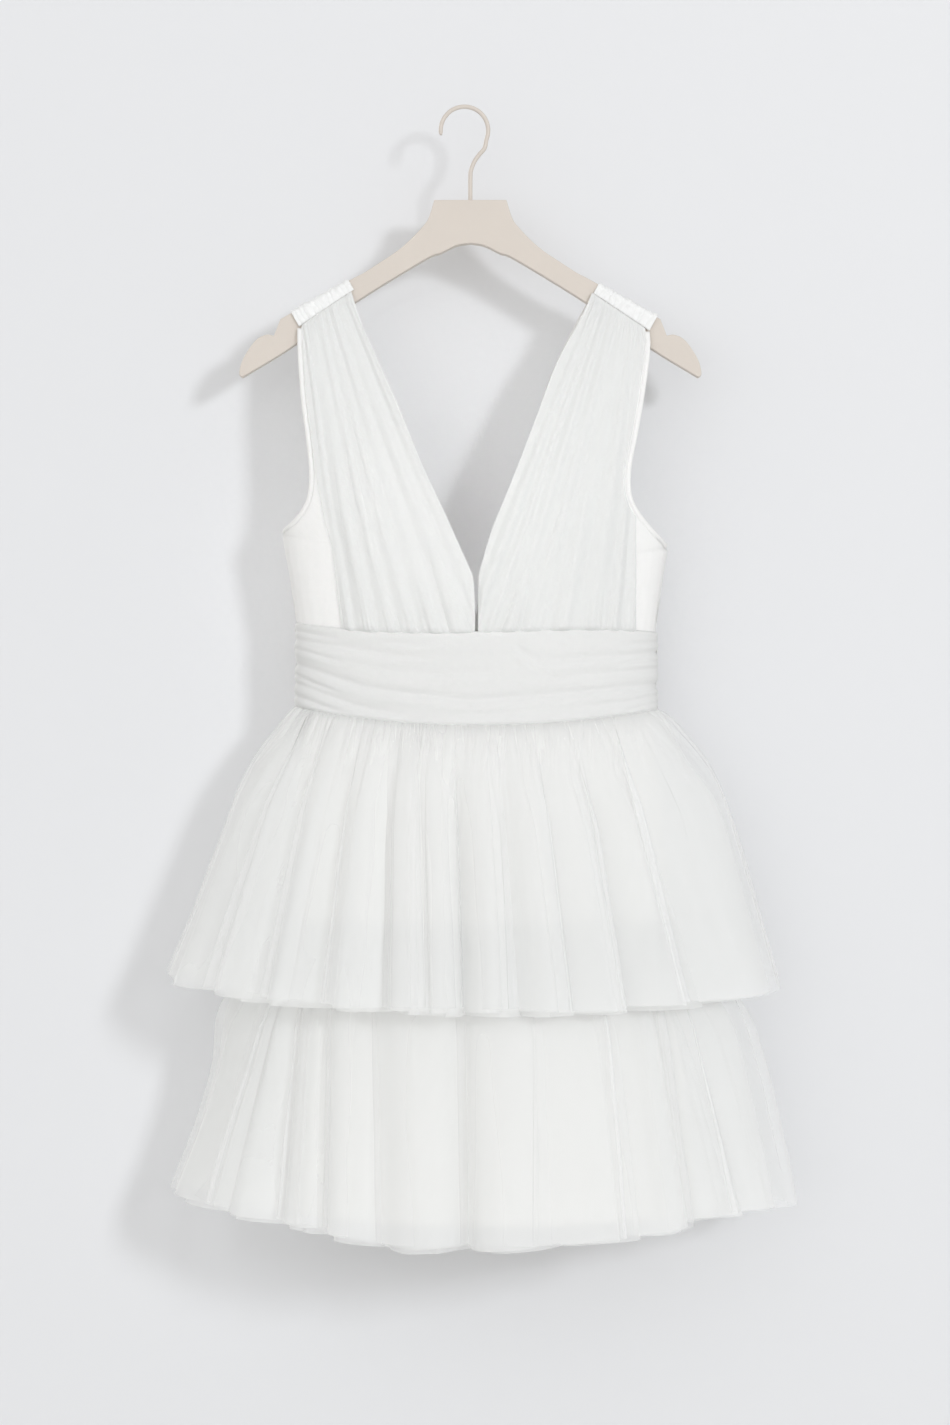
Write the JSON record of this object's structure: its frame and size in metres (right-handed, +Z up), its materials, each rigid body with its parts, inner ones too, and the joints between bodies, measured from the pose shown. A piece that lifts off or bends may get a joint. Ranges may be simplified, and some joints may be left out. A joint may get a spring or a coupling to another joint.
{
  "type": "tulle mini dress",
  "caption": "Sleeveless tulle mini dress with a deep V, ruched waistband and gathered tiers over a lining skirt, hanging on a flat painted hanger.",
  "frame": {"origin": "the point inside the top of the hanger's hook where it is held", "axes": "+Z up along the hanging dress, +X to the viewer's right as the front is seen, -Y out of the front"},
  "size_m": [0.5768, 0.2092, 1.0358],
  "materials": {
    "smooth_cloth": "smooth matt woven lining, white",
    "tulle": "fine soft tulle net in folds, white",
    "painted_hanger": "painted beige, matt",
    "painted_wire": "painted beige, satin"
  },
  "bodies": {
    "root": {"hanger_body": "painted_hanger", "hanger_hook": "painted_wire", "bodice_front_left": "smooth_cloth", "drape_front_left": "tulle", "armhole_binding_left": "smooth_cloth", "shoulder_band_left": "tulle", "bodice_front_right": "smooth_cloth", "drape_front_right": "tulle", "armhole_binding_right": "smooth_cloth", "shoulder_band_right": "tulle", "bodice_back": "smooth_cloth", "drape_back": "tulle", "waistband_front": "tulle", "upper_tier_front": "tulle", "lower_tier_front": "tulle", "lining_skirt_front": "smooth_cloth", "waistband_back": "tulle", "upper_tier_back": "tulle", "lower_tier_back": "tulle", "lining_skirt_back": "smooth_cloth"}
  },
  "joints": []
}
